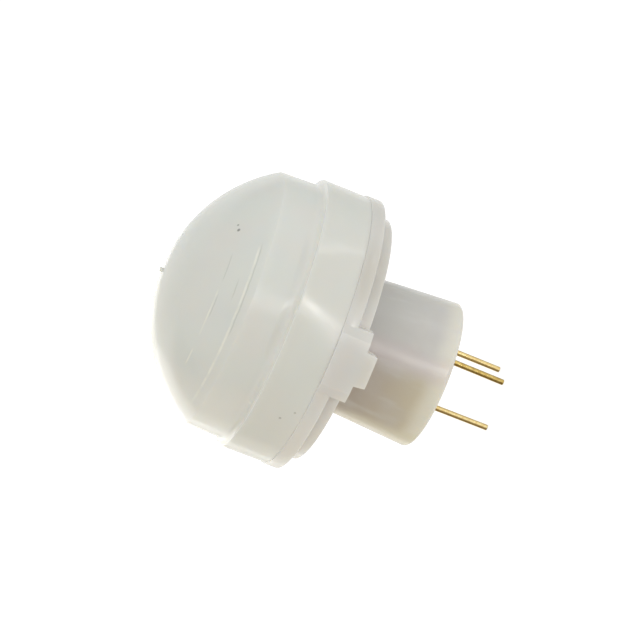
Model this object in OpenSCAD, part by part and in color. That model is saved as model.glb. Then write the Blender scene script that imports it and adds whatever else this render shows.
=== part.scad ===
// Passive infrared motion sensor: a metal-can detector in a moulded holder
// under a domed lens cap with three gold-plated leads.
// +Z runs along the axis towards the dome. z = 0 is the open end of the stem,
// which seats on the circuit board. The stepped index tab faces -Y.
// All sizes are in millimetres.

/* [Lens cap] */
// Radius of the dome's outer sphere
dome_r = 11.15; // [10.8:0.05:13]
// Height of the plain wall between the collar and the dome's sharp edge
lens_wall_h = 3.0; // [1.5:0.05:4]
// Narrowing of the plain wall's radius from the collar to the dome
lens_wall_draft = 0.12; // [0.05:0.01:0.2]
// Thickness of the plain wall
lens_wall_t = 1.0; // [0.8:0.05:1.3]
// Outer radius of the collar
collar_r = 10.12; // [9.9:0.02:10.5]
// Height of the collar above the holder's rim
collar_h = 3.35; // [2.8:0.05:5]
// Thickness of the collar where it fits over the holder's spigot
collar_t = 1.0; // [0.8:0.05:1.2]
// Step from the collar in to the plain wall
shoulder_w = 0.5; // [0.4:0.02:0.8]
// Bevel round the collar's front edge
collar_bevel = 0.1; // [0.05:0.01:0.2]
// Radius of the gate stub left on top of the dome
gate_r = 0.16; // [0.1:0.02:0.4]
// Height of the gate stub
gate_h = 0.2; // [0.1:0.05:0.5]

/* [Lens array] */
// Lenslets in the ring round the axis
inner_count = 5; // [4:1:6]
// Lenslets in the middle ring
middle_count = 8; // [6:1:10]
// Lenslets in the ring next to the wall
outer_count = 10; // [8:1:12]
// Angle from the axis to the centres of the inner ring
inner_angle = 16; // [14:0.5:19]
// Angle from the axis to the centres of the middle ring
middle_angle = 33; // [30:0.5:36]
// Angle from the axis to the centres of the outer ring
outer_angle = 49.4; // [46:0.2:52]
// Focal length shared by all lenslets
lens_focal = 14.5; // [12:0.5:17]
// Refractive index of the lens plastic in the infrared
lens_index = 1.54; // [1.5:0.01:1.56]
// Thickness of the dome at the centre of a lenslet
lens_t = 1.1; // [0.95:0.05:1.3]
// Least thickness of the dome, where lenslets meet
lens_skin_t = 0.6; // [0.5:0.05:0.75]

/* [Holder] */
// Height of the stem from the board to the underside of the floor
stem_h = 7.3; // [7:0.1:9]
// Wall of the stem round the sensor can
stem_wall_t = 0.85; // [0.75:0.05:1.2]
// How much wider in radius the stem is at its open end
stem_flare = 0.49; // [0.4:0.05:0.9]
// Rounding of the stem's open end
stem_end_round = 0.3; // [0.15:0.05:0.45]
// Height of the step behind the rim
step_h = 0.98; // [0.6:0.02:1.6]
// Width of the step behind the rim
step_w = 1.08; // [0.6:0.02:1.6]
// Height of the rim that the lens cap stands on
rim_h = 1.02; // [0.8:0.02:1.6]
// How far the rim stands proud of the collar
rim_proud = 0.1; // [0.05:0.01:0.2]
// Bevel round the rim's back edge
rim_bevel = 0.08; // [0.04:0.01:0.15]
// Thickness of the floor
floor_t = 1.3; // [1:0.05:1.8]
// Height of the spigot inside the collar
spigot_h = 1.8; // [1.2:0.05:2.2]
// Thickness of the spigot
spigot_t = 0.6; // [0.4:0.05:0.9]
// Room left above the spigot inside the collar
spigot_room = 0.2; // [0.1:0.05:0.4]
// Widening of the opening through the floor, over the can
throat_w = 1.15; // [0.6:0.05:2]
// Gap between pieces that slide together
slip = 0.05; // [0.03:0.01:0.1]

/* [Index tab] */
// Width of the tab's upper pad
tab_w = 5.1; // [4.4:0.1:6.4]
// How far the tab stands proud of the rim
tab_proud = 0.16; // [0.1:0.02:0.4]
// Thickness of the tab in the radial direction
tab_t = 1.4; // [1.35:0.05:2]
// How far the pad hangs below the underside of the floor
tab_drop = 0.15; // [0.05:0.05:0.6]
// Width of the narrow nub under the pad
nub_w = 2.5; // [1.8:0.05:3.6]
// Height of the nub
nub_h = 0.8; // [0.4:0.05:1.4]
// Narrowing of the nub towards its end, on each side
nub_draft = 0.1; // [0.05:0.01:0.2]
// Bevel of the pad's sides, along the rim
tab_bevel_w = 1; // [0.3:0.05:1.2]
// Bevel of the pad's sides, towards the axis
tab_bevel_d = 0.5; // [0.2:0.05:0.6]

/* [Sensor can] */
// Outer radius of the can
can_r = 4.1; // [4.05:0.05:4.4]
// Height of the can from its flange to its top
can_h = 5.8; // [5.4:0.1:6.4]
// Wall of the can
can_wall_t = 0.2; // [0.15:0.01:0.22]
// Thickness of the can's top
can_top_t = 0.25; // [0.2:0.01:0.35]
// Width of the can's flange past its wall
can_flange_w = 0.45; // [0.35:0.05:0.6]
// Thickness of the can's flange
can_flange_t = 0.25; // [0.2:0.01:0.35]
// Outer rounding of the can's top edge
can_round = 0.35; // [0.25:0.05:0.5]
// Depth of the window opening
window_d = 3.6; // [3:0.1:3.9]
// Corner radius of the window opening
window_round = 0.4; // [0.2:0.05:0.8]

/* [Header] */
// Height of the header's underside above the board
header_lift = 0.3; // [0.2:0.02:0.5]
// Thickness of the header's flange
header_flange_t = 0.4; // [0.3:0.02:0.6]
// Rim of the header's flange past the can's flange
header_rim_w = 0.05; // [0.03:0.01:0.08]
// Height of the plateau above the flange
plateau_h = 0.8; // [0.6:0.05:1.2]
// Gap between the plateau and the can's wall
plateau_gap = 0.2; // [0.1:0.02:0.3]
// Width of the header's index tab
key_w = 0.8; // [0.6:0.05:1]
// Length of the header's index tab past the flange
key_l = 0.35; // [0.2:0.05:0.4]
// Radius of the glass seals
seal_r = 0.7; // [0.55:0.05:0.85]
// Width of the lip that holds the header's flange in the stem
lip_w = 0.2; // [0.1:0.02:0.3]

/* [Leads] */
// Diameter of the circle that the leads stand on
lead_circle_d = 5.08; // [4.9:0.02:5.2]
// Radius of a lead
lead_r = 0.21; // [0.19:0.01:0.25]
// Length of the leads below the board face
lead_l = 4.85; // [3:0.05:15]
// How much shorter the supply lead is cut
supply_cut = 0.3; // [0.1:0.05:1]
// Bevel on the cut end of a lead
lead_bevel = 0.05; // [0.02:0.01:0.08]
// Swelling of a lead inside its glass seal
lead_swell = 0.03; // [0.02:0.01:0.05]
// Radius of the ground lead's welded head
weld_r = 0.45; // [0.4:0.05:0.7]
// Thickness of the ground lead's welded head
weld_t = 0.12; // [0.08:0.02:0.16]
// Height of a sealed lead's post above the carrier's tracks
post_l = 0.35; // [0.3:0.05:0.6]
// Width of the conductive joint round a post
post_joint_w = 0.26; // [0.2:0.02:0.3]
// Height of the conductive joint round a post
post_joint_h = 0.25; // [0.1:0.05:0.3]

/* [Infrared filter] */
// Overlap of the filter behind the window opening
filter_lap = 0.4; // [0.3:0.05:0.5]
// Thickness of the filter
filter_t = 0.5; // [0.3:0.05:0.7]
// Thickness of the adhesive between filter and can
glue_t = 0.05; // [0.03:0.01:0.1]
// Width of the adhesive round the filter
glue_w = 0.15; // [0.1:0.01:0.18]
// Height of the adhesive round the filter
glue_h = 0.3; // [0.15:0.05:0.4]
// Gap between the adhesive's corners and the can's wall
filter_gap = 0.2; // [0.1:0.02:0.4]

/* [Circuit carrier] */
// Gap between the corners of the carrier's foot and the can's wall
foot_wall_gap = 0.18; // [0.1:0.02:0.3]
// Depth of the carrier's foot
foot_d = 4.9; // [4.7:0.05:5]
// Height of the carrier's foot
foot_h = 0.8; // [0.5:0.05:1.2]
// Depth of the carrier's tower
tower_d = 2.5; // [2:0.05:2.6]
// Rim of the tower past the element's ends
tower_rim = 0.2; // [0.15:0.05:0.3]
// Width of each ledge that carries the element
ledge_w = 0.45; // [0.3:0.05:0.6]
// Depth of the hollow under the element
hollow_h = 0.6; // [0.3:0.05:1]
// Gap round a lead in the carrier's foot
foot_gap = 0.08; // [0.05:0.01:0.12]
// Thickness of the plated tracks
track_t = 0.03; // [0.02:0.01:0.05]
// Width of the plated tracks
track_w = 0.3; // [0.2:0.02:0.36]
// Length of the amplifier chip
chip_w = 1.5; // [1.2:0.05:1.6]
// Depth of the amplifier chip
chip_d = 0.9; // [0.7:0.02:0.94]
// Thickness of the amplifier chip
chip_t = 0.3; // [0.2:0.02:0.4]
// Length of a chip capacitor or resistor
passive_w = 1.0; // [0.8:0.02:1.1]
// Depth of a chip capacitor or resistor
passive_d = 0.5; // [0.4:0.02:0.6]
// Height of a chip capacitor
capacitor_h = 0.5; // [0.3:0.02:0.6]
// Height of the chip resistor
resistor_h = 0.35; // [0.25:0.02:0.5]
// Length of a metal end on a capacitor or resistor
terminal_l = 0.22; // [0.15:0.01:0.3]
// Step from a metal end down to the body between the ends
terminal_step = 0.03; // [0.02:0.01:0.05]
// Radius of a bond wire
wire_r = 0.02; // [0.015:0.005:0.03]
// Height of a bond wire's loop above the chip
wire_loop = 0.18; // [0.12:0.02:0.3]
// Distance that a bond wire spans
wire_reach = 0.24; // [0.2:0.02:0.3]
// Number of bond wires
wire_count = 4; // [2:1:5]
// Place of the amplifier chip along the foot
chip_x = -0.9; // [-1:0.05:-0.85]
// Place of the resistor along the foot
resistor_x = 0.65; // [0.55:0.05:0.7]
// Place of the signal side's capacitor along the foot
capacitor_signal_x = 0.35; // [0.2:0.05:0.6]
// Place of the supply side's capacitor along the foot
capacitor_supply_x = -1.15; // [-1.3:0.05:-1]

/* [Pyroelectric element] */
// Width of the element plate
element_w = 4.2; // [4:0.05:4.4]
// Depth of the element plate
element_d = 2.8; // [2.6:0.05:3]
// Thickness of the element plate
element_t = 0.12; // [0.08:0.01:0.2]
// Gap between the element and the filter
element_gap = 0.35; // [0.3:0.05:0.6]
// Side of each square electrode
electrode_w = 0.9; // [0.7:0.05:1.1]
// Distance between electrode centres across the width
electrode_pitch_w = 1.5; // [1.3:0.05:1.7]
// Distance between electrode centres across the depth
electrode_pitch_d = 1.3; // [1.2:0.05:1.5]
// Thickness of the electrodes
electrode_t = 0.02; // [0.01:0.005:0.03]
// Radius of a conductive joint at the element's corner
joint_r = 0.2; // [0.14:0.02:0.24]

/* [Hidden] */

// Facets shown for round forms; the forms themselves are true arcs
$fn = 96;
lens_fn = 160;
fine_fn = 32;
wire_fn = 16;
// Overshoot of a cutting shape past the face it cuts
past = 0.5;

// Heights from the board up
floor_z = stem_h;
rim_z = floor_z + step_h;
seam_z = rim_z + rim_h;
shoulder_z = seam_z + collar_h;
dome_edge_z = shoulder_z + lens_wall_h;
lens_wall_r = collar_r - shoulder_w;
dome_edge_r = lens_wall_r - lens_wall_draft;
dome_z = dome_edge_z - sqrt(pow(dome_r, 2) - pow(dome_edge_r, 2));
dome_top_z = dome_z + dome_r;

// Lens array: each lenslet is a shallow spherical face whose centre lies outside
// the dome, with the curvature that the thin-lens formula asks for
lenslet_r = 1 / (1 / ((lens_index - 1) * lens_focal) - 1 / dome_r);
lenslet_reach = dome_r - lens_t + lenslet_r;
lens_rings = [
    [inner_count, inner_angle],
    [middle_count, middle_angle],
    [outer_count, outer_angle]
];

// Holder
bore_r = can_r + slip;
stem_root_r = bore_r + stem_wall_t;
stem_end_r = stem_root_r + stem_flare;
rim_r = collar_r + rim_proud;
step_r = rim_r - step_w;
socket_r = collar_r - collar_t;
spigot_r = socket_r - slip;
floor_top_z = floor_z + floor_t;
throat_r = bore_r + throat_w;
tab_r = rim_r + tab_proud;

// Can and header
header_z = header_lift;
can_z = header_z + header_flange_t;
can_top_z = can_z + can_h;
can_flange_r = can_r + can_flange_w;
header_r = can_flange_r + header_rim_w;
can_seat_z = can_z + can_flange_t;
can_inner_r = can_r - can_wall_t;
plateau_r = can_inner_r - plateau_gap;
plateau_z = can_z + plateau_h;
seat_bore_r = header_r + slip;
lip_r = seat_bore_r - lip_w;
key_end_r = header_r + key_l;

// Leads, seen from above: signal, supply and ground, a quarter turn apart
lead_angle_signal = 45;
lead_angle_supply = -45;
lead_angle_ground = -135;
post_r = lead_r + lead_swell;

// The filter, its adhesive and the foot are as wide as the round can lets them be
function width_in_circle(r, d) = 2 * sqrt(pow(r, 2) - pow(d / 2, 2));
filter_d = window_d + 2 * filter_lap;
filter_w = width_in_circle(can_inner_r - filter_gap, filter_d + 2 * glue_w) - 2 * glue_w;
window_w = filter_w - 2 * filter_lap;
foot_w = width_in_circle(can_inner_r - foot_wall_gap, foot_d);

// Filter, element and carrier hang from the window
filter_top_z = can_top_z - can_top_t - glue_t;
filter_z = filter_top_z - filter_t;
element_top_z = filter_z - element_gap;
element_z = element_top_z - element_t;
ledge_z = element_z - track_t;
tower_w = element_w + 2 * tower_rim;
ledge_pad_w = ledge_w + tower_rim + track_t;
foot_z = plateau_z + foot_h;
part_z = foot_z + track_t;
foot_hole_r = post_r + foot_gap;
post_joint_r = post_r + post_joint_w;
post_top_z = part_z + post_l;

// The parts on the foot stand midway between the tower and the foot's edge
lane_y = (tower_d + foot_d) / 4;

// Shapes shared by several pieces

module at_lead(angle) {
    rotate([0, 0, angle])
        translate([lead_circle_d / 2, 0, 0])
            children();
}

module block(w, d, h, z) {
    translate([-w / 2, -d / 2, z])
        cube([w, d, h]);
}

// Flat plate with rounded upright corners
module rounded_plate(w, d, h, r, z) {
    block(w - 2 * r, d, h, z);
    block(w, d - 2 * r, h, z);
    for (x = [-1, 1], y = [-1, 1])
        translate([x * (w / 2 - r), y * (d / 2 - r), z])
            cylinder(r = r, h = h, $fn = fine_fn);
}

// Area taken off a square outer corner at the origin to round it, material to -x and -y
module corner_waste(r) {
    difference() {
        translate([-r, -r])
            square(r + past);
        translate([-r, -r])
            circle(r = r);
    }
}

// Lens cap

module lenslet_face(polar, turn) {
    translate([0, 0, dome_z])
        rotate([0, polar, turn])
            translate([0, 0, lenslet_reach])
                sphere(r = lenslet_r, $fn = lens_fn);
}

module lens_array() {
    for (ring = lens_rings)
        for (i = [0 : ring[0] - 1])
            lenslet_face(ring[1], i * 360 / ring[0]);
}

// Hollow of the cap: a round-ended bore whose end is pushed in by the lenslets
module cap_hollow() {
    difference() {
        intersection() {
            translate([0, 0, dome_z])
                sphere(r = dome_r - lens_skin_t, $fn = lens_fn);
            translate([0, 0, seam_z - past])
                cylinder(r = lens_wall_r - lens_wall_t, h = dome_r + dome_top_z, $fn = lens_fn);
        }
        lens_array();
    }
}

module lens_cap() {
    color("whitesmoke") {
        difference() {
            union() {
                intersection() {
                    translate([0, 0, dome_z])
                        sphere(r = dome_r, $fn = lens_fn);
                    translate([0, 0, dome_edge_z])
                        cylinder(r = dome_r, h = dome_r, $fn = lens_fn);
                }
                translate([0, 0, dome_top_z - gate_h])
                    cylinder(r = gate_r, h = 2 * gate_h, $fn = fine_fn);
                rotate_extrude($fn = lens_fn)
                    polygon([
                        [0, seam_z],
                        [collar_r, seam_z],
                        [collar_r, shoulder_z - collar_bevel],
                        [collar_r - collar_bevel, shoulder_z],
                        [lens_wall_r, shoulder_z],
                        [dome_edge_r, dome_edge_z],
                        [0, dome_edge_z]
                    ]);
            }
            cap_hollow();
            translate([0, 0, seam_z - past])
                cylinder(r = socket_r, h = past + spigot_h + spigot_room);
        }
    }
}

// Holder

module holder_section() {
    difference() {
        polygon([
            [lip_r, 0],
            [stem_end_r, 0],
            [stem_root_r, floor_z],
            [step_r, floor_z],
            [step_r, rim_z],
            [rim_r - rim_bevel, rim_z],
            [rim_r, rim_z + rim_bevel],
            [rim_r, seam_z],
            [spigot_r, seam_z],
            [spigot_r, seam_z + spigot_h],
            [spigot_r - spigot_t, seam_z + spigot_h],
            [spigot_r - spigot_t, floor_top_z],
            [throat_r, floor_top_z],
            [bore_r, floor_z],
            [bore_r, can_seat_z],
            [seat_bore_r, can_seat_z],
            [seat_bore_r, header_z],
            [lip_r, header_z]
        ]);
        translate([stem_end_r, 0])
            mirror([0, 1])
                corner_waste(stem_end_round);
    }
}

// The tab is the crossing of its front outline, its plan and a ring
module index_tab() {
    intersection() {
        translate([0, -rim_r + tab_t, 0])
            rotate([90, 0, 0])
                linear_extrude(height = 2 * tab_t)
                    polygon([
                        [-tab_w / 2, seam_z],
                        [-tab_w / 2, floor_z - tab_drop],
                        [-nub_w / 2, floor_z - tab_drop],
                        [-nub_w / 2 + nub_draft, floor_z - tab_drop - nub_h],
                        [nub_w / 2 - nub_draft, floor_z - tab_drop - nub_h],
                        [nub_w / 2, floor_z - tab_drop],
                        [tab_w / 2, floor_z - tab_drop],
                        [tab_w / 2, seam_z]
                    ]);
        linear_extrude(height = seam_z + past)
            polygon([
                [-tab_w / 2, 0],
                [-tab_w / 2, tab_bevel_d - tab_r],
                [-tab_w / 2 + tab_bevel_w, -tab_r],
                [tab_w / 2 - tab_bevel_w, -tab_r],
                [tab_w / 2, tab_bevel_d - tab_r],
                [tab_w / 2, 0]
            ]);
        difference() {
            cylinder(r = tab_r, h = seam_z + past, $fn = lens_fn);
            translate([0, 0, -past])
                cylinder(r = tab_r - tab_t, h = seam_z + 3 * past);
        }
    }
}

module holder() {
    color("gainsboro") {
        difference() {
            union() {
                rotate_extrude($fn = lens_fn)
                    holder_section();
                index_tab();
            }
            // Notch for the header's index tab
            translate([-key_w / 2 - slip, 0, -past])
                cube([key_w + 2 * slip, key_end_r + slip, past + can_z + slip]);
        }
    }
}

// Metal can

module can_section() {
    difference() {
        polygon([
            [can_inner_r, can_z],
            [can_flange_r, can_z],
            [can_flange_r, can_seat_z],
            [can_r, can_seat_z],
            [can_r, can_top_z],
            [0, can_top_z],
            [0, can_top_z - can_top_t],
            [can_inner_r, can_top_z - can_top_t]
        ]);
        translate([can_r, can_top_z])
            corner_waste(can_round);
    }
}

module sensor_can() {
    color("silver") {
        difference() {
            rotate_extrude()
                can_section();
            rounded_plate(
                window_w,
                window_d,
                can_top_t + 2 * past,
                window_round,
                can_top_z - can_top_t - past
            );
        }
    }
}

module header() {
    color("darkkhaki") {
        difference() {
            union() {
                translate([0, 0, header_z])
                    cylinder(r = header_r, h = header_flange_t);
                translate([0, 0, header_z])
                    cylinder(r = plateau_r, h = header_flange_t + plateau_h);
                translate([-key_w / 2, 0, header_z])
                    cube([key_w, key_end_r, header_flange_t]);
            }
            for (angle = [lead_angle_signal, lead_angle_supply])
                at_lead(angle)
                    translate([0, 0, header_z - past])
                        cylinder(r = seal_r, h = plateau_z + past, $fn = fine_fn);
        }
    }
}

module glass_seal(angle) {
    color("steelblue") {
        at_lead(angle)
            rotate_extrude($fn = fine_fn)
                polygon([
                    [lead_r, header_z],
                    [seal_r, header_z],
                    [seal_r, plateau_z],
                    [post_r, plateau_z]
                ]);
    }
}

module glass_seal_signal() {
    glass_seal(lead_angle_signal);
}

module glass_seal_supply() {
    glass_seal(lead_angle_supply);
}

// Leads

// Straight lead below the header, with a bevelled cut end
module lead_wire(tip_z) {
    translate([0, 0, tip_z])
        cylinder(r1 = lead_r - lead_bevel, r2 = lead_r, h = lead_bevel, $fn = fine_fn);
    translate([0, 0, tip_z + lead_bevel])
        cylinder(r = lead_r, h = header_z - tip_z - lead_bevel, $fn = fine_fn);
}

// Lead that passes through its glass seal and ends as a post on the carrier
module sealed_lead(angle, tip_z) {
    color("gold") {
        at_lead(angle) {
            lead_wire(tip_z);
            translate([0, 0, header_z])
                cylinder(r1 = lead_r, r2 = post_r, h = plateau_z - header_z, $fn = fine_fn);
            translate([0, 0, plateau_z])
                cylinder(r = post_r, h = post_top_z - plateau_z, $fn = fine_fn);
        }
    }
}

module lead_signal() {
    sealed_lead(lead_angle_signal, -lead_l);
}

module lead_supply() {
    sealed_lead(lead_angle_supply, supply_cut - lead_l);
}

// The ground lead is welded to the header by a flat head
module lead_ground() {
    color("gold") {
        at_lead(lead_angle_ground) {
            lead_wire(-lead_l);
            translate([0, 0, header_z - weld_t])
                cylinder(r = weld_r, h = weld_t, $fn = fine_fn);
        }
    }
}

// Infrared filter

module infrared_filter() {
    color("dimgray")
        block(filter_w, filter_d, filter_t, filter_z);
}

module filter_adhesive() {
    color("black") {
        difference() {
            block(filter_w + 2 * glue_w, filter_d + 2 * glue_w, glue_h + glue_t, filter_top_z - glue_h);
            block(filter_w, filter_d, glue_h + past, filter_top_z - glue_h - past);
            block(window_w, window_d, glue_t + 2 * past, filter_top_z - past);
        }
    }
}

// Circuit carrier: a foot on the header with a tower that lifts the element

module circuit_carrier() {
    color("navajowhite") {
        difference() {
            union() {
                block(foot_w, foot_d, foot_h, plateau_z);
                block(tower_w, tower_d, ledge_z - plateau_z, plateau_z);
            }
            block(element_w - 2 * ledge_w, tower_d + 2 * past, hollow_h + past, ledge_z - hollow_h);
            for (angle = [lead_angle_signal, lead_angle_supply])
                at_lead(angle)
                    translate([0, 0, plateau_z - past])
                        cylinder(r = foot_hole_r, h = foot_h + 2 * past, $fn = fine_fn);
        }
    }
}

// A track pad on the foot under each end of a part that is len long
module part_pads(x, y, len, d) {
    for (side = [-1, 1])
        translate([x + side * (len - track_w) / 2, y, 0])
            block(track_w, d, track_t, foot_z);
}

module carrier_tracks() {
    color("goldenrod") {
        part_pads(chip_x, -lane_y, chip_w, chip_d);
        part_pads(resistor_x, -lane_y, passive_w, passive_d);
        part_pads(capacitor_signal_x, lane_y, passive_w, passive_d);
        part_pads(capacitor_supply_x, lane_y, passive_w, passive_d);
        // From each ledge over the tower's end and down to the foot
        for (side = [-1, 1]) {
            translate([side * (ledge_pad_w + element_w - 2 * ledge_w) / 2, 0, 0])
                block(ledge_pad_w, tower_d, track_t, ledge_z);
            translate([side * (tower_w + track_t) / 2, 0, 0])
                block(track_t, tower_d, ledge_z + track_t - foot_z, foot_z);
        }
        for (angle = [lead_angle_signal, lead_angle_supply])
            at_lead(angle)
                translate([0, 0, foot_z])
                    difference() {
                        cylinder(r = post_joint_r, h = track_t, $fn = fine_fn);
                        translate([0, 0, -past])
                            cylinder(r = post_r, h = track_t + 2 * past, $fn = fine_fn);
                    }
    }
}

module amplifier_chip() {
    color("slategray")
        translate([chip_x, -lane_y, 0])
            block(chip_w, chip_d, chip_t, part_z);
}

// Chip part with a body between two slightly larger metal ends
module end_capped_part(x, y, h) {
    translate([x, y, 0]) {
        block(
            passive_w - terminal_l,
            passive_d - 2 * terminal_step,
            h - 2 * terminal_step,
            part_z + terminal_step
        );
        for (side = [-1, 1])
            translate([side * (passive_w - terminal_l) / 2, 0, 0])
                block(terminal_l, passive_d, h, part_z);
    }
}

module capacitor_signal() {
    color("peru")
        end_capped_part(capacitor_signal_x, lane_y, capacitor_h);
}

module capacitor_supply() {
    color("peru")
        end_capped_part(capacitor_supply_x, lane_y, capacitor_h);
}

module chip_resistor() {
    color("dimgray")
        end_capped_part(resistor_x, -lane_y, resistor_h);
}

// One wire: up from the chip's edge, across and down to the foot beside it
module bond_wire(x) {
    top_z = part_z + chip_t + wire_loop;
    y0 = -lane_y + chip_d / 2 - wire_reach / 2;
    translate([x, y0, part_z + chip_t])
        cylinder(r = wire_r, h = wire_loop, $fn = wire_fn);
    translate([x, y0, top_z])
        rotate([-90, 0, 0])
            cylinder(r = wire_r, h = wire_reach, $fn = wire_fn);
    translate([x, y0 + wire_reach, foot_z])
        cylinder(r = wire_r, h = top_z - foot_z, $fn = wire_fn);
    for (y = [y0, y0 + wire_reach])
        translate([x, y, top_z])
            sphere(r = wire_r, $fn = wire_fn);
}

module bond_wires() {
    pitch = chip_w / (wire_count + 1);
    color("gold")
        for (i = [1 : wire_count])
            bond_wire(chip_x - chip_w / 2 + i * pitch);
}

module lead_joints() {
    color("lightgray") {
        for (angle = [lead_angle_signal, lead_angle_supply])
            at_lead(angle)
                rotate_extrude($fn = fine_fn)
                    polygon([
                        [post_r, part_z],
                        [post_joint_r, part_z],
                        [post_r + track_t, part_z + post_joint_h],
                        [post_r, part_z + post_joint_h]
                    ]);
    }
}

// Pyroelectric element

module pyro_element() {
    color("lightyellow")
        block(element_w, element_d, element_t, element_z);
}

module element_electrodes() {
    color("black") {
        for (x = [-1, 1], y = [-1, 1])
            translate([x * electrode_pitch_w / 2, y * electrode_pitch_d / 2, 0])
                block(electrode_w, electrode_w, electrode_t, element_top_z);
    }
}

// Blobs of conductive adhesive over the element's ends
module element_joints() {
    color("lightgray") {
        for (x = [-1, 1], y = [-1, 1])
            difference() {
                translate([x * element_w / 2, y * (tower_d / 2 - joint_r - slip), element_z])
                    sphere(r = joint_r, $fn = fine_fn);
                block(element_w, element_d, element_t, element_z);
                block(tower_w + past, tower_d + past, past, element_z - past);
            }
    }
}

lens_cap();
holder();
sensor_can();
header();
glass_seal_signal();
glass_seal_supply();
lead_signal();
lead_supply();
lead_ground();
infrared_filter();
filter_adhesive();
circuit_carrier();
carrier_tracks();
amplifier_chip();
capacitor_signal();
capacitor_supply();
chip_resistor();
bond_wires();
lead_joints();
pyro_element();
element_electrodes();
element_joints();
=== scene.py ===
import math

import bmesh
import bpy
from mathutils import Matrix, Vector


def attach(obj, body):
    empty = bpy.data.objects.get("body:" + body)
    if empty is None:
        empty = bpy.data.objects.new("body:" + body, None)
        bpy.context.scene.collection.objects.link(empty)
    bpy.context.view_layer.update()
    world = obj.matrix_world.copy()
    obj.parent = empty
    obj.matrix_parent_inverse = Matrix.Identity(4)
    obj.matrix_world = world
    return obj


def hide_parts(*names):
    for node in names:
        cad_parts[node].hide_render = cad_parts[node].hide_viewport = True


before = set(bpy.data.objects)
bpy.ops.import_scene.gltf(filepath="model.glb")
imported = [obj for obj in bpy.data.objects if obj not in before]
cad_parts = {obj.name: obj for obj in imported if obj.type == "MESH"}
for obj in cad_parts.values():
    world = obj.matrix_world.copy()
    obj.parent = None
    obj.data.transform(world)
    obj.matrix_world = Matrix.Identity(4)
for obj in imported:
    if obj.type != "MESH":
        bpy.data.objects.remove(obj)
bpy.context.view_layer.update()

# Sizes of the object, in millimetres. The axis is Z, z = 0 is the stem's open end
# and the index tab faces -Y.
MM = 0.001

# Lens cap
DOME_RADIUS = 11.15
DOME_EDGE_HEIGHT = 15.65
DOME_EDGE_ROUND = 0.04
WALL_RADIUS = 9.62
WALL_DRAFT = 0.12
WALL_THICKNESS = 1.0
WALL_FOOT_ROUND = 0.35
SHOULDER_HEIGHT = 12.65
COLLAR_RADIUS = 10.12
COLLAR_THICKNESS = 1.0
COLLAR_ROUND = 0.1
SEAM_HEIGHT = 9.3
JOINT_GAP = 0.005
GATE_RADIUS = 0.16
GATE_HEIGHT = 0.2
GATE_ROUND = 0.05
LENS_THICKNESS = 1.1
LENS_SKIN = 0.6
LENS_FOCAL = 14.5
LENS_INDEX = 1.54

# Rings of lenslets: how many, and their angle from the axis in degrees
LENS_RINGS = ((5, 16), (8, 33), (10, 49.4))

# Holder
RIM_RADIUS = 10.22
RIM_HEIGHT = 8.28
RIM_ROUND = 0.08
STEP_RADIUS = 9.14
FLOOR_HEIGHT = 7.3
FLOOR_THICKNESS = 1.3
THROAT_WIDTH = 1.15
SPIGOT_HEIGHT = 1.8
SPIGOT_THICKNESS = 0.6
SPIGOT_ROOM = 0.2
SPIGOT_ROUND = 0.03
SLIP = 0.05
STEM_WALL = 0.85
STEM_FLARE = 0.49
STEM_ROOT_ROUND = 0.25
STEM_END_ROUND = 0.3
LIP_WIDTH = 0.2
CAN_SEAT_HEIGHT = 0.95
TAB_WIDTH = 5.1
TAB_PROUD = 0.16
TAB_THICKNESS = 1.4
TAB_DROP = 0.15
TAB_TOP_DROP = 0.02
TAB_BEVEL_WIDTH = 1
TAB_BEVEL_DEPTH = 0.5
NUB_WIDTH = 2.5
NUB_HEIGHT = 0.8
NUB_DRAFT = 0.1

# Detector
CAN_RADIUS = 4.1
HEADER_HEIGHT = 0.3
HEADER_RADIUS = 4.6
HEADER_TOP_HEIGHT = 0.7
HEADER_ROUND = 0.08
KEY_WIDTH = 0.8
KEY_RADIUS = 4.95
KEY_ROUND = 0.04
PLATEAU_RADIUS = 3.7
PLATEAU_HEIGHT = 1.5
PLATEAU_ROUND = 0.05
PLATEAU_FOOT_ROUND = 0.06
LEAD_CIRCLE = 5.08
LEAD_RADIUS = 0.21
LEAD_LENGTH = 4.85
LEAD_TIP_ROUND = 0.07
SUPPLY_CUT = 0.3
POST_RADIUS = 0.24
POST_TOP_HEIGHT = 2.68
WELD_RADIUS = 0.45
WELD_THICKNESS = 0.12
LEAD_HEAD_ROUND = 0.05
SEAL_RADIUS = 0.7
SEAL_SAG = 0.06
EYELET_ROUND = 0.06
PASSIVE_WIDTH = 1.0
TERMINAL_LENGTH = 0.22

# The leads' angles on their circle, seen from above
SIGNAL_ANGLE = 45
SUPPLY_ANGLE = -45
GROUND_ANGLE = -135
SEALED_LEADS = (SIGNAL_ANGLE, SUPPLY_ANGLE)

# How the photographed detector sits in its holder, and how its leads are bent
DETECTOR_TURN = math.radians(-4.4)
DETECTOR_SHIFT = 0.05
SIGNAL_LEAN = math.radians(-0.6)
SUPPLY_LEAN = math.radians(-0.8)
GROUND_LEAN = math.radians(0)

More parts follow.
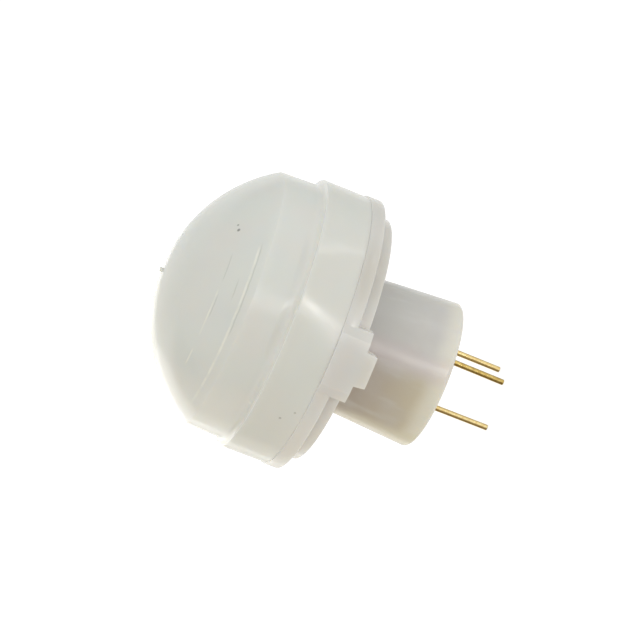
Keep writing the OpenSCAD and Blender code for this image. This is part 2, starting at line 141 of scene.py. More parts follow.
# Sizes that follow from the others
DOME_EDGE_RADIUS = WALL_RADIUS - WALL_DRAFT
DOME_EDGE_ANGLE = math.asin(DOME_EDGE_RADIUS / DOME_RADIUS)
DOME_CENTRE_HEIGHT = DOME_EDGE_HEIGHT - DOME_RADIUS * math.cos(DOME_EDGE_ANGLE)
DOME_TOP_HEIGHT = DOME_CENTRE_HEIGHT + DOME_RADIUS
BORE_RADIUS = CAN_RADIUS + SLIP
STEM_ROOT_RADIUS = BORE_RADIUS + STEM_WALL
STEM_END_RADIUS = STEM_ROOT_RADIUS + STEM_FLARE
SOCKET_RADIUS = COLLAR_RADIUS - COLLAR_THICKNESS
SOCKET_TOP = SEAM_HEIGHT + SPIGOT_HEIGHT + SPIGOT_ROOM
SPIGOT_RADIUS = SOCKET_RADIUS - SLIP
SEAT_RADIUS = HEADER_RADIUS + SLIP
HOLLOW_RADIUS = WALL_RADIUS - WALL_THICKNESS

# Steps of the turned forms and of the drawn arcs
TURN_STEPS = 256
HEADER_STEPS = 128
SEAL_STEPS = 64
LEAD_STEPS = 48
DOME_STEPS = 56
INNER_STEPS = 60
SAG_STEPS = 8

# How far a cutting form reaches past what it cuts, and the margin for comparing places
OVERSHOOT = 1
MARGIN = 1e-3

# Milky plastic: depth that light goes in, share that does, and the painted glow of touching
# faces, which ends between these distances from the collar's outside
MILKY_DEPTH = 1.2
MILKY_SHARE = 0.8
JOINT_PAINTED_GLOW = 0.19
JOINT_GLOW_FADE = 0.03
JOINT_GLOW_END = 0.01

# Colours of the plastics
LENS_COLOUR = (0.83, 0.835, 0.80)
LENS_COOL = (0.82, 0.84, 0.81)
LENS_WARM = (0.84, 0.83, 0.795)
# Painted light and shade on the lens cap: a lighter low side, a darker dome top, a painted glow just above
# the shoulder and painted shade on the collar, strongest at its edge under the shoulder
LENS_LOW_PAINTED_LIGHT = (0.94, 0.93, 0.88)
LENS_TOP_PAINTED_SHADE = (0.79, 0.80, 0.765)
SHOULDER_PAINTED_GLOW = (0.92, 0.915, 0.875)
SHOULDER_EDGE_PAINTED_SHADE = (0.79, 0.795, 0.76)
HOLDER_COLOUR = (0.76, 0.75, 0.74)
HOLDER_COOL = (0.75, 0.755, 0.75)
HOLDER_WARM = (0.765, 0.75, 0.735)
# Painted shade on the holder's high side and painted light on its low side
HOLDER_UPPER_PAINTED_SHADE = (0.68, 0.665, 0.635)
HOLDER_LOWER_PAINTED_LIGHT = (0.80, 0.785, 0.765)
NUB_COLOUR = (0.75, 0.735, 0.705)
# Painted light and shade on the stem: lit and shaded copies at its open end, shaded copies at its root, a
# cream painted glow at the open end and a pink painted highlight
STEM_END_LIT = (0.79, 0.78, 0.755)
STEM_END_SHADED = (0.735, 0.68, 0.53)
STEM_ROOT_SHADED_HIGH = (0.59, 0.585, 0.575)
STEM_ROOT_SHADED_LOW = (0.52, 0.46, 0.415)
STEM_RIM_PAINTED_GLOW = (0.88, 0.85, 0.77)
STEM_PAINTED_HIGHLIGHT = (0.68, 0.585, 0.595)
STEM_GREY = (0.62, 0.595, 0.60)
# Hairline colours: painted light and painted shade along the dome's fine creases; the light speck also takes
# the lighter one
LINE_LIGHT = (0.99, 0.985, 0.89)
LINE_DARK = (0.5, 0.52, 0.47)
SPECK_COLOUR = (0.12, 0.13, 0.12)

# Where the tones of the lens cap change, in millimetres: across the photo, up the axis, and
# from the shoulder down or up
LENS_LOW_FADE = (-8.5, -5)
LENS_TOP_FADE = (18.4, 20.6)
SHOULDER_SPLIT = (0.06, 0.01)
SHOULDER_FADE_DOWN = 1.2
SHOULDER_FADE_UP = (0.1, 0.75)

# Where the tones of the holder change, in millimetres: across the photo, up the axis for nub,
# stem's end and floor, and out from the stem
HOLDER_UPPER_START = (1.5, 4.5)
HOLDER_UPPER_END = (5.5, 8)
HOLDER_LOWER_FADE = (-7.5, -4)
NUB_FADE = (6.6, 7.6)
FLOOR_FADE = (FLOOR_HEIGHT - 0.1, FLOOR_HEIGHT + 0.4)
STEM_OUT_FADE = (STEM_END_RADIUS + 0.2, STEM_END_RADIUS + 0.8)
STEM_HEIGHTS = (-1.5, FLOOR_HEIGHT)
STEM_RIM_FADE = (0.5, 1.9)
STEM_SIDE_FADE = (-1.2, 0.8)
STEM_PINK_START = (-0.9, 0)
STEM_PINK_END = (0.8, 1.8)
STEM_EDGE_FADE = (-5.1, -4.1)

# Depth of the unevenness of the moulded faces, in millimetres
LENS_RELIEF = 0.04
HOLDER_RELIEF = 0.035

# Colours of the metals and of the pieces inside the can, light and dark
GOLD = (1.0, 0.82, 0.42)
GOLD_DARK = (0.90, 0.66, 0.28)
# Darker gold for the near supply lead: painted shade, as it mirrors the shaded side
SHADED_NEAR_GOLD = (0.80, 0.60, 0.22)
NEAR_GOLD_DARK = (0.62, 0.43, 0.13)
HEADER_GOLD = (0.83, 0.68, 0.38)
BASE_METAL = (0.55, 0.48, 0.38)
NICKEL = (0.66, 0.64, 0.60)
NICKEL_LIGHT = (0.68, 0.66, 0.62)
NICKEL_DARK = (0.55, 0.53, 0.49)
SILVER_PASTE = (0.62, 0.62, 0.60)
SILVER_PASTE_DARK = (0.48, 0.48, 0.46)
TINNED = (0.62, 0.62, 0.6)
GLASS = (0.03, 0.05, 0.06)
GLASS_BUBBLE = (0.16, 0.2, 0.2)
FILTER = (0.32, 0.30, 0.36)
FILTER_VIOLET = (0.34, 0.30, 0.40)
FILTER_BLUE = (0.26, 0.31, 0.38)
ADHESIVE = (0.05, 0.05, 0.05)
ADHESIVE_DARK = (0.03, 0.03, 0.03)
RESIN = (0.80, 0.74, 0.62)
RESIN_DARK = (0.74, 0.68, 0.55)
CHIP = (0.22, 0.24, 0.30)
CHIP_DARK = (0.16, 0.18, 0.24)
CAPACITOR = (0.58, 0.44, 0.30)
CAPACITOR_DARK = (0.47, 0.34, 0.22)
RESISTOR = (0.12, 0.12, 0.13)
RESISTOR_DARK = (0.07, 0.07, 0.08)
CRYSTAL = (0.82, 0.80, 0.66)
CRYSTAL_DARK = (0.75, 0.72, 0.58)
FILM = (0.10, 0.10, 0.11)
FILM_DARK = (0.06, 0.06, 0.07)

# Hairlines: angle from the axis at the dome's centre, start and end round the axis, half width
DARK_LINES = (
    (54.9, -99.4, -53.4, 0.1),
    (44.4, -77.4, -59.4, 0.08),
    (44.6, -97.4, -81.4, 0.08),
    (50.5, -84.4, -71.4, 0.08),
)
LIGHT_LINES = (
    (54.2, -143.4, -54.4, 0.16),
    (43.8, -107.4, -79.4, 0.11),
    (44.0, -127.4, -113.4, 0.11),
)
LINE_DRIFT = 0.1
LINE_FADE = math.radians(5)

# Warp of the collar: its middle across the photo and up the axis, its twist per millimetre,
# and where it fades out sideways and upwards
WARP_ACROSS = 1.3
WARP_HEIGHT = 11
WARP_TWIST = 0.04
WARP_SIDE_FADE = (2, 5)
WARP_TOP_FADE = (1.9, 2.6)

# Specks on the lens cap: place, radius and how dark they are
DARK_SPECKS = (
    ((5.52, -5.31, 17.91), 0.09, 0.5),
    ((5.26, -5.72, 17.80), 0.13, 0.65),
    ((-5.36, -8.58, 10.63), 0.1, 0.35),
    ((-4.59, -9.02, 9.89), 0.09, 0.3),
)
LIGHT_SPECK = ((-5.17, -8.05, 12.88), 0.14)

# Camera: the photograph's viewing angle, from its 640 x 640 frame
IMAGE_SIDE = 640
PIXELS_PER_MM = 14.1
LENS_PIXELS = 2500
CAMERA_AZIMUTH = math.radians(7.8)
DOME_TILT = math.radians(10.2)
AXIS_ROLL = math.radians(21.4)
AXIS_POINT_HEIGHT = 15.72
AXIS_POINT_PIXEL = (231.0, 296.4)
SENSOR_WIDTH = 36.0

# Directions: from the part towards the camera, across the photo, up the part's axis,
# and the photo's own view, right and up
TOWARDS_CAMERA = Vector((math.sin(CAMERA_AZIMUTH), -math.cos(CAMERA_AZIMUTH), 0))
ACROSS = Vector((math.cos(CAMERA_AZIMUTH), math.sin(CAMERA_AZIMUTH), 0))
AXIS = Vector((0, 0, 1))
PHOTO_DOWN_AXIS = -math.cos(DOME_TILT) * AXIS + math.sin(DOME_TILT) * TOWARDS_CAMERA
PHOTO_VIEW = -(math.cos(DOME_TILT) * TOWARDS_CAMERA + math.sin(DOME_TILT) * AXIS)
PHOTO_RIGHT = math.cos(AXIS_ROLL) * PHOTO_DOWN_AXIS + math.sin(AXIS_ROLL) * ACROSS
PHOTO_UP = -math.sin(AXIS_ROLL) * PHOTO_DOWN_AXIS + math.cos(AXIS_ROLL) * ACROSS

# Lights: their distance from the part and the height of what they are aimed at, in
# millimetres, and the directions of the two that draw the bright outline from behind
LIGHT_DISTANCE = 300
LIGHT_AIM_HEIGHT = 11
LEFT_BACK = 0.94 * PHOTO_VIEW - 0.335 * PHOTO_RIGHT - 0.06 * PHOTO_UP
RIM_BACK = 0.8 * PHOTO_VIEW - 0.54 * PHOTO_RIGHT - 0.4 * PHOTO_UP

# The pale room: light on matte faces from the photo's low and high side, and a glow
# behind the part that falls off with a power of the angle's cosine
WORLD_LOW = (0.64, 0.605, 0.53)
WORLD_HIGH = (0.77, 0.79, 0.775)
BACKDROP = (PHOTO_VIEW - 0.55 * PHOTO_UP - 0.25 * PHOTO_RIGHT).normalized()
BACKDROP_GLOW = (0.56, 0.55, 0.44)
BACKDROP_FALL = 3
BACKGROUND = (0.95, 0.95, 0.95)

# What glossy faces mirror: degrees round the axis from the camera towards the photo's
# upper side, and the colour there. A soft box fills the front's upper half.
MIRRORED = (
    (-180, (1.0, 0.98, 0.93)),
    (-148, (1.0, 0.98, 0.93)),
    (-135, (0.20, 0.16, 0.10)),
    (-52, (0.22, 0.18, 0.12)),
    (-16, (0.46, 0.43, 0.38)),
    (2, (0.93, 0.93, 0.91)),
    (60, (0.88, 0.88, 0.86)),
    (90, (0.74, 0.74, 0.72)),
    (110, (0.45, 0.44, 0.40)),
    (138, (0.45, 0.44, 0.40)),
    (150, (0.84, 0.84, 0.81)),
    (180, (1.0, 1.0, 0.98)),
)
ABOVE_AND_BELOW = (0.75, 0.75, 0.72)

# Floor: radius in metres, its gap under the leads in millimetres, its colour and its glow
FLOOR_RADIUS = 8
FLOOR_GAP = 0.05
FLOOR_COLOUR = (0.25, 0.25, 0.25)
FLOOR_GLOW = 0.9


# Shader nodes


def add_node(tree, kind, links=None, **values):
    """Adds a shader node, sets its values and links its inputs."""
    node = tree.nodes.new(kind)
    for name, value in values.items():
        setattr(node, name, value)
    for name, source in (links or {}).items():
        if isinstance(source, bpy.types.NodeSocket):
            tree.links.new(source, node.inputs[name])
        else:
            node.inputs[name].default_value = source
    return node


def dot(tree, way, axis):
    """How far the way points along the axis."""
    values = {0: way, 1: axis}
    return add_node(tree, "ShaderNodeVectorMath", values, operation="DOT_PRODUCT").outputs["Value"]


def reckon(tree, operation, first, second=0.0):
    """Plain arithmetic on one or two values."""
    return add_node(tree, "ShaderNodeMath", {0: first, 1: second}, operation=operation).outputs[0]


def strongest(tree, masks):
    """The highest of several values."""
    total = masks[0]
    for mask in masks[1:]:
        total = reckon(tree, "MAXIMUM", total, mask)
    return total


def spread(tree, value, low, high, to_low=0, to_high=1):
    """Maps low..high smoothly to the new range and holds the ends."""
    values = {
        "Value": value,
        "From Min": low,
        "From Max": high,
        "To Min": to_low,
        "To Max": to_high,
    }
    node = add_node(tree, "ShaderNodeMapRange", values, interpolation_type="SMOOTHSTEP")
    return node.outputs["Result"]


def blend(tree, share, first, second):
    """Colour between two colours; each is an output or a plain (red, green, blue)."""
    first = first if isinstance(first, bpy.types.NodeSocket) else (*first, 1)
    second = second if isinstance(second, bpy.types.NodeSocket) else (*second, 1)
    values = {"Factor": share, "A": first, "B": second}
    return add_node(tree, "ShaderNodeMix", values, data_type="RGBA").outputs["Result"]


def part_place(tree):
    """The part's own coordinates in millimetres."""
    place = add_node(tree, "ShaderNodeTexCoord").outputs["Object"]
    scaled = add_node(tree, "ShaderNodeVectorMath", {0: place, "Scale": 1 / MM}, operation="SCALE")
    return scaled.outputs["Vector"]


def height_of(tree, place):
    return add_node(tree, "ShaderNodeSeparateXYZ", {0: place}).outputs["Z"]


def stretched(tree, place, ways):
    """The place with its three coordinates multiplied by ways."""
    return add_node(tree, "ShaderNodeVectorMath", {0: place, 1: ways}, operation="MULTIPLY").outputs["Vector"]


def distance_from_axis(tree, place):
    flat = stretched(tree, place, (1, 1, 0))
    return add_node(tree, "ShaderNodeVectorMath", {0: flat}, operation="LENGTH").outputs["Value"]


def noise(tree, place, size, detail=3):
    """Soft random values in blotches of about this many millimetres."""
    values = {"Vector": place, "Scale": 1 / size, "Detail": detail}
    return add_node(tree, "ShaderNodeTexNoise", values).outputs["Fac"]


def relief(tree, shader, height, depth):
    """Raises the surface by the height value times this many millimetres."""
    bump = add_node(tree, "ShaderNodeBump", {"Height": height, "Distance": depth * MM})
    tree.links.new(bump.outputs["Normal"], shader.inputs["Normal"])


def use_colour(tree, shader, colour):
    tree.links.new(colour, shader.inputs["Base Color"])


def use_roughness(tree, shader, value, low, high):
    """Roughness that drifts from low to high with a random value."""
    tree.links.new(spread(tree, value, 0.3, 0.7, low, high), shader.inputs["Roughness"])


def new_paint(name, colour, roughness, metallic=0):
    """A material with plain values on its shader, to be varied by nodes."""
    paint = bpy.data.materials.new(name)
    paint.use_nodes = True
    shader = paint.node_tree.nodes["Principled BSDF"]
    shader.inputs["Base Color"].default_value = (*colour, 1)
    shader.inputs["Roughness"].default_value = roughness
    shader.inputs["Metallic"].default_value = metallic
    return paint, paint.node_tree, shader


# Camera and studio


def photo_camera():
    """The camera that took the photograph, worked out from the part's axis in its frame."""
    centre = IMAGE_SIDE / 2
    sideways = (centre - AXIS_POINT_PIXEL[0]) / PIXELS_PER_MM
    upwards = (AXIS_POINT_PIXEL[1] - centre) / PIXELS_PER_MM
    distance = LENS_PIXELS / PIXELS_PER_MM
    place = AXIS * AXIS_POINT_HEIGHT + PHOTO_RIGHT * sideways + PHOTO_UP * upwards
    place -= PHOTO_VIEW * distance
    lens = bpy.data.cameras.new("photo_camera")
    lens.sensor_width = SENSOR_WIDTH
    lens.lens = SENSOR_WIDTH * LENS_PIXELS / IMAGE_SIDE
    lens.clip_start = 0.01
    lens.clip_end = 50
    camera = bpy.data.objects.new("photo_camera", lens)
    bpy.context.scene.collection.objects.link(camera)
    turn = Matrix((PHOTO_RIGHT, PHOTO_UP, -PHOTO_VIEW)).transposed()
    camera.matrix_world = Matrix.Translation(place * MM) @ turn.to_4x4()
    bpy.context.scene.camera = camera


def round_light(name, direction, size, power, colour):
    """A round soft light that shines on the middle of the part. Its power is in watts."""
    lamp = bpy.data.lights.new(name, "AREA")
    lamp.shape = "DISK"
    lamp.size = size * MM
    lamp.energy = power
    lamp.color = colour
    light = bpy.data.objects.new(name, lamp)
    bpy.context.scene.collection.objects.link(light)
    direction = direction.normalized()
    turn = direction.to_track_quat("Z", "Y").to_matrix().to_4x4()
    place = AXIS * LIGHT_AIM_HEIGHT + direction * LIGHT_DISTANCE
    light.matrix_world = Matrix.Translation(place * MM) @ turn


def light_at(angle, rise):
    """Direction turned from the camera towards the photo's upper side and raised towards the dome."""
    a, b = math.radians(angle), math.radians(rise)
    level = TOWARDS_CAMERA * math.cos(a) + ACROSS * math.sin(a)
    return level * math.cos(b) + AXIS * math.sin(b)


def studio_lights():
    """Highlights on collar, stem and side, then the lights for the bright outline."""
    round_light("collar_light", light_at(12, -12.8), size=40, power=0.062, colour=(1, 0.96, 0.94))
    round_light("stem_light", light_at(7, -5), size=60, power=0.02, colour=(1, 0.93, 0.95))
    round_light("side_light", light_at(72, -13), size=52, power=0.014, colour=(1, 1, 1))
    round_light("low_back_light", light_at(-135, -10), size=160, power=0.04, colour=(0.97, 1, 1))
    round_light("left_back_light", LEFT_BACK, size=160, power=0.04, colour=(1, 1, 0.95))
    round_light("rim_light", RIM_BACK, size=195, power=0.07, colour=(1, 1, 0.97))


def soft_light(tree, way):
    """Light on matte faces: brighter and cooler above, with a glow from the backdrop."""
    share = add_node(
        tree,
        "ShaderNodeMapRange",
        {"Value": dot(tree, way, PHOTO_UP), "From Min": -1, "From Max": 1},
    )
    tint = blend(tree, share.outputs["Result"], WORLD_LOW, WORLD_HIGH)
    facing = reckon(tree, "MAXIMUM", dot(tree, way, BACKDROP), 0)
    glow = blend(tree, reckon(tree, "POWER", facing, BACKDROP_FALL), (0, 0, 0), BACKDROP_GLOW)
    return add_node(tree, "ShaderNodeVectorMath", {0: tint, 1: glow}, operation="ADD").outputs["Vector"]


def mirrored_light(tree, way):
    """Light that glossy faces mirror, by its angle round the part's axis."""
    angle = reckon(tree, "ARCTAN2", dot(tree, way, ACROSS), dot(tree, way, TOWARDS_CAMERA))
    turn = reckon(tree, "ADD", reckon(tree, "DIVIDE", angle, math.tau), 0.5)
    ramp = add_node(tree, "ShaderNodeValToRGB", {"Fac": turn})
    stops = ramp.color_ramp.elements
    while len(stops) < len(MIRRORED):
        stops.new(0.5)
    for stop, (degrees, colour) in zip(stops, MIRRORED):
        stop.position = degrees / 360 + 0.5
        stop.color = (*colour, 1)
    height = reckon(tree, "ABSOLUTE", dot(tree, way, AXIS))
    return blend(tree, spread(tree, height, 0.7, 0.95), ramp.outputs["Color"], ABOVE_AND_BELOW)


def studio_world():
    """Soft light box round the part, plain white where the camera sees it."""
    world = bpy.data.worlds.new("studio")
    world.use_nodes = True
    tree = world.node_tree
    way = add_node(tree, "ShaderNodeTexCoord").outputs["Generated"]
    ray = add_node(tree, "ShaderNodeLightPath").outputs
    light = blend(tree, ray["Is Glossy Ray"], soft_light(tree, way), mirrored_light(tree, way))
    light = blend(tree, ray["Is Camera Ray"], light, BACKGROUND)
    tree.links.new(light, tree.nodes["Background"].inputs["Color"])
    bpy.context.scene.world = world
    bpy.context.scene.view_settings.view_transform = "Standard"


def studio_floor():
    """Pale glowing floor just under the leads. It is only seen: it lights and mirrors nothing."""
    deselect_all()
    bpy.ops.mesh.primitive_circle_add(vertices=64, radius=FLOOR_RADIUS, fill_type="NGON")
    floor = bpy.context.object
    floor.name = "floor"
    floor.data.transform(Matrix.Translation((0, 0, -(LEAD_LENGTH + FLOOR_GAP) * MM)))
    floor.visible_diffuse = False
    floor.visible_glossy = False
    floor.visible_shadow = False
    paint, _, shader = new_paint("floor_white", FLOOR_COLOUR, 0.9)
    shader.inputs["Specular IOR Level"].default_value = 0
    shader.inputs["Emission Color"].default_value = (1, 1, 1, 1)
    shader.inputs["Emission Strength"].default_value = FLOOR_GLOW
    floor.data.materials.append(paint)


# Drawn, turned and extruded forms


def deselect_all():
    bpy.ops.object.select_all(action="DESELECT")


def draw_points(name, points):
    """Draws points one after the other, in millimetres, and leaves the piece in edit mode."""
    deselect_all()
    bpy.ops.mesh.primitive_plane_add(size=MM)
    piece = bpy.context.object
    piece.name = name
    bpy.ops.object.mode_set(mode="EDIT")
    bpy.ops.mesh.select_mode(type="VERT")
    bpy.ops.mesh.select_all(action="SELECT")
    bpy.ops.mesh.merge(type="CENTER")
    here = points[0]
    bpy.ops.transform.translate(value=[value * MM for value in here])
    for there in points[1:]:
        step = [(end - start) * MM for start, end in zip(here, there)]
        bpy.ops.mesh.extrude_region_move(TRANSFORM_OT_translate={"value": step})
        here = there
    bpy.ops.mesh.select_all(action="SELECT")
    return piece


def select_corners(piece, corners):
    """Selects the section's points at these (radius, height) places, in edit mode."""
    bpy.ops.mesh.select_all(action="DESELECT")
    form = bmesh.from_edit_mesh(piece.data)
    for point in form.verts:
        for radius, height in corners:
            if (point.co - Vector((radius, 0, height)) * MM).length < 1e-6:
                point.select_set(True)
    form.select_flush_mode()
    bmesh.update_edit_mesh(piece.data)


def drawn_section(name, section, rounds=()):
    """A section in the XZ plane, given as (radius, height), with rounded corners.

    Each of rounds is (radius of the rounding, segments, corners)."""
    piece = draw_points(name, [(radius, 0, height) for radius, height in section])
    bpy.ops.mesh.remove_doubles(threshold=1e-7)
    for size, segments, corners in rounds:
        select_corners(piece, corners)
        bpy.ops.mesh.bevel(offset=size * MM, segments=segments, affect="VERTICES")
    return piece


def turn_section(piece, steps=TURN_STEPS):
    """Spins the drawn section once round the axis and closes it, normals outward."""
    bpy.ops.mesh.select_all(action="SELECT")
    bpy.ops.mesh.spin(steps=steps, angle=math.tau, center=(0, 0, 0), axis=(0, 0, 1))
    bpy.ops.mesh.select_all(action="SELECT")
    bpy.ops.mesh.remove_doubles(threshold=1e-6)
    bpy.ops.mesh.normals_make_consistent(inside=False)
    bpy.ops.object.mode_set(mode="OBJECT")


def extruded_outline(name, points, way):
    """A solid from a flat outline, whose points are given in order, extruded the given way."""
    piece = draw_points(name, points)
    bpy.ops.mesh.edge_face_add()
    bpy.ops.mesh.extrude_region_move(TRANSFORM_OT_translate={"value": Vector(way) * MM})
    bpy.ops.mesh.select_all(action="SELECT")
    bpy.ops.mesh.normals_make_consistent(inside=False)
    bpy.ops.object.mode_set(mode="OBJECT")
    return piece


def level_box(half_width, depth, height):
    """Corners of a level rectangle that reaches from the axis out along +Y."""
    return [
        (-half_width, 0, height),
        (half_width, 0, height),
        (half_width, depth, height),
        (-half_width, depth, height),
    ]


def combine(piece, other, operation):
    """Joins, cuts or crosses the piece with another solid, which is used up."""
    step = piece.modifiers.new(operation.lower(), "BOOLEAN")
    step.operation = operation
    step.solver = "EXACT"
    step.object = other
    deselect_all()
    bpy.context.view_layer.objects.active = piece
    bpy.ops.object.modifier_apply(modifier=step.name)
    bpy.data.objects.remove(other)


def soften_edges(piece, size):
    """Rounds every sharp edge of the piece."""
    step = piece.modifiers.new("soft_edges", "BEVEL")
    step.width = size * MM
    step.segments = 3
    step.limit_method = "ANGLE"
    deselect_all()
    bpy.context.view_layer.objects.active = piece
    bpy.ops.object.modifier_apply(modifier=step.name)


def move_piece(piece, way):
    """Moves the whole mesh in edit mode, so that the object stays at the origin."""
    deselect_all()
    piece.select_set(True)
    bpy.context.view_layer.objects.active = piece
    bpy.ops.object.mode_set(mode="EDIT")
    bpy.ops.mesh.select_all(action="SELECT")
    bpy.ops.transform.translate(value=way * MM)
    bpy.ops.object.mode_set(mode="OBJECT")


def lean_piece(piece, foot, angle):
    """Leans the mesh across the photo about a point of it."""
    turn = Matrix.Rotation(angle, 4, TOWARDS_CAMERA)
    place = Matrix.Translation(foot * MM)
    piece.data.transform(place @ turn @ place.inverted())


def finish_piece(piece, paint, nodes, smooth_angle=40):
    """Smooths the piece, paints it and hands it to the frame in place of the CAD nodes."""
    deselect_all()
    piece.select_set(True)
    bpy.context.view_layer.objects.active = piece
    bpy.ops.object.shade_smooth_by_angle(angle=math.radians(smooth_angle))
    flat = piece.modifiers.new("flat_faces", "WEIGHTED_NORMAL")
    flat.keep_sharp = True
    bpy.ops.object.modifier_apply(modifier=flat.name)
    piece.data.materials.clear()
    piece.data.materials.append(paint)
    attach(piece, "root")
    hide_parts(*nodes)


# Lens cap


def lenslet_centres():
    """Centres of the lenslets' spheres and their radius, by the thin-lens formula."""
    sphere = 1 / (1 / ((LENS_INDEX - 1) * LENS_FOCAL) - 1 / DOME_RADIUS)
    reach = DOME_RADIUS - LENS_THICKNESS + sphere
    centres = []
    for count, polar in LENS_RINGS:
        for i in range(count):
            a, b = math.radians(polar), math.tau * i / count
            way = Vector((math.sin(a) * math.cos(b), math.sin(a) * math.sin(b), math.cos(a)))
            centres.append(way * reach)
    return centres, sphere


def push_in_lenslets(piece):
    """Moves the inner face in to the nearest lenslet's sphere."""
    centres, sphere = lenslet_centres()
    middle = Vector((0, 0, DOME_CENTRE_HEIGHT))
    skin = DOME_RADIUS - LENS_SKIN
    for point in piece.data.vertices:
        place = point.co / MM - middle
        reach = place.length
        above_socket = place.z + DOME_CENTRE_HEIGHT > SOCKET_TOP + MARGIN
        in_hollow = math.hypot(place.x, place.y) <= HOLLOW_RADIUS + MARGIN
        if reach >= skin + MARGIN or not above_socket or not in_hollow:
            continue
        way = place.normalized()
        for centre in centres:
            along = way.dot(centre)
            under = along * along - centre.length_squared + sphere * sphere
            if under > 0:
                reach = min(reach, along - math.sqrt(under))
        point.co = (middle + way * reach) * MM


def cap_section():
    """Half section of the cap: gate stub, dome, wall, collar and socket, then back inside."""
    section = [(0, DOME_TOP_HEIGHT + GATE_HEIGHT), (GATE_RADIUS, DOME_TOP_HEIGHT + GATE_HEIGHT)]
    start = math.asin(GATE_RADIUS / DOME_RADIUS)
    for i in range(DOME_STEPS + 1):
        a = start + (DOME_EDGE_ANGLE - start) * i / DOME_STEPS
        section.append((DOME_RADIUS * math.sin(a), DOME_CENTRE_HEIGHT + DOME_RADIUS * math.cos(a)))
    section += [
        (WALL_RADIUS, SHOULDER_HEIGHT),
        (COLLAR_RADIUS, SHOULDER_HEIGHT),
        (COLLAR_RADIUS, SEAM_HEIGHT + JOINT_GAP),
        (SOCKET_RADIUS, SEAM_HEIGHT + JOINT_GAP),
        (SOCKET_RADIUS, SOCKET_TOP),
        (HOLLOW_RADIUS, SOCKET_TOP),
    ]
    skin = DOME_RADIUS - LENS_SKIN
    lowest = math.atan2(HOLLOW_RADIUS, SOCKET_TOP - DOME_CENTRE_HEIGHT)
    for i in range(1, INNER_STEPS + 1):
        a = lowest * (1 - i / INNER_STEPS)
        reach = skin if a < 1e-6 else min(skin, HOLLOW_RADIUS / math.sin(a))
        section.append((reach * math.sin(a), DOME_CENTRE_HEIGHT + reach * math.cos(a)))
    return section


def lens_cap(paint):
    """Domed cap with a plain wall, a collar and lenslets on its inner face."""
    rounds = (
        (DOME_EDGE_ROUND, 2, ((DOME_EDGE_RADIUS, DOME_EDGE_HEIGHT),)),
        (COLLAR_ROUND, 3, ((COLLAR_RADIUS, SHOULDER_HEIGHT),)),
        (WALL_FOOT_ROUND, 5, ((WALL_RADIUS, SHOULDER_HEIGHT),)),
        (GATE_ROUND, 3, ((GATE_RADIUS, DOME_TOP_HEIGHT + GATE_HEIGHT),)),
    )
    piece = drawn_section("lens_cap_moulding", cap_section(), rounds)
    turn_section(piece)
    push_in_lenslets(piece)
    finish_piece(piece, paint, ["lens_cap"])


# Holder


def holder_section():
    """Half section of the holder: stem, step, rim, spigot, floor, bore, can seat and lip."""
    floor_top = FLOOR_HEIGHT + FLOOR_THICKNESS
    spigot_top = SEAM_HEIGHT + SPIGOT_HEIGHT
    spigot_inner = SPIGOT_RADIUS - SPIGOT_THICKNESS
    lip = SEAT_RADIUS - LIP_WIDTH
    return [
        (lip, 0),
        (STEM_END_RADIUS, 0),
        (STEM_ROOT_RADIUS, FLOOR_HEIGHT),
        (STEP_RADIUS, FLOOR_HEIGHT),
        (STEP_RADIUS, RIM_HEIGHT),
        (RIM_RADIUS, RIM_HEIGHT),
        (RIM_RADIUS, SEAM_HEIGHT),
        (SPIGOT_RADIUS, SEAM_HEIGHT),
        (SPIGOT_RADIUS, spigot_top),
        (spigot_inner, spigot_top),
        (spigot_inner, floor_top),
        (BORE_RADIUS + THROAT_WIDTH, floor_top),
        (BORE_RADIUS, FLOOR_HEIGHT),
        (BORE_RADIUS, CAN_SEAT_HEIGHT),
        (SEAT_RADIUS, CAN_SEAT_HEIGHT),
        (SEAT_RADIUS, HEADER_HEIGHT),
        (lip, HEADER_HEIGHT),
        (lip, 0),
    ]


def index_tab():
    """Stepped tab on the rim: a pad with bevelled sides and a narrow nub below it."""
    half, nub = TAB_WIDTH / 2, NUB_WIDTH / 2
    top = SEAM_HEIGHT - TAB_TOP_DROP
    step = FLOOR_HEIGHT - TAB_DROP
    end = step - NUB_HEIGHT
    outer = RIM_RADIUS + TAB_PROUD
    inner = outer - TAB_THICKNESS
    outline = [
        (-half, 0, top),
        (-half, 0, step),
        (-nub, 0, step),
        (-nub + NUB_DRAFT, 0, end),
        (nub - NUB_DRAFT, 0, end),
        (nub, 0, step),
        (half, 0, step),
        (half, 0, top),
    ]
    tab = extruded_outline("index_tab", outline, (0, -outer, 0))
    side = half + OVERSHOOT
    side_depth = outer - TAB_BEVEL_DEPTH * (1 + OVERSHOOT / TAB_BEVEL_WIDTH)
    plan = [
        (-side, 0, 0),
        (-side, -side_depth, 0),
        (-half + TAB_BEVEL_WIDTH, -outer, 0),
        (half - TAB_BEVEL_WIDTH, -outer, 0),
        (side, -side_depth, 0),
        (side, 0, 0),
    ]
    combine(tab, extruded_outline("tab_plan", plan, (0, 0, SEAM_HEIGHT + OVERSHOOT)), "INTERSECT")
    ring_section = [
        (inner, -OVERSHOOT),
        (outer, -OVERSHOOT),
        (outer, SEAM_HEIGHT + OVERSHOOT),
        (inner, SEAM_HEIGHT + OVERSHOOT),
        (inner, -OVERSHOOT),
    ]
    ring = drawn_section("tab_ring", ring_section)
    turn_section(ring, 2 * TURN_STEPS)
    combine(tab, ring, "INTERSECT")
    return tab


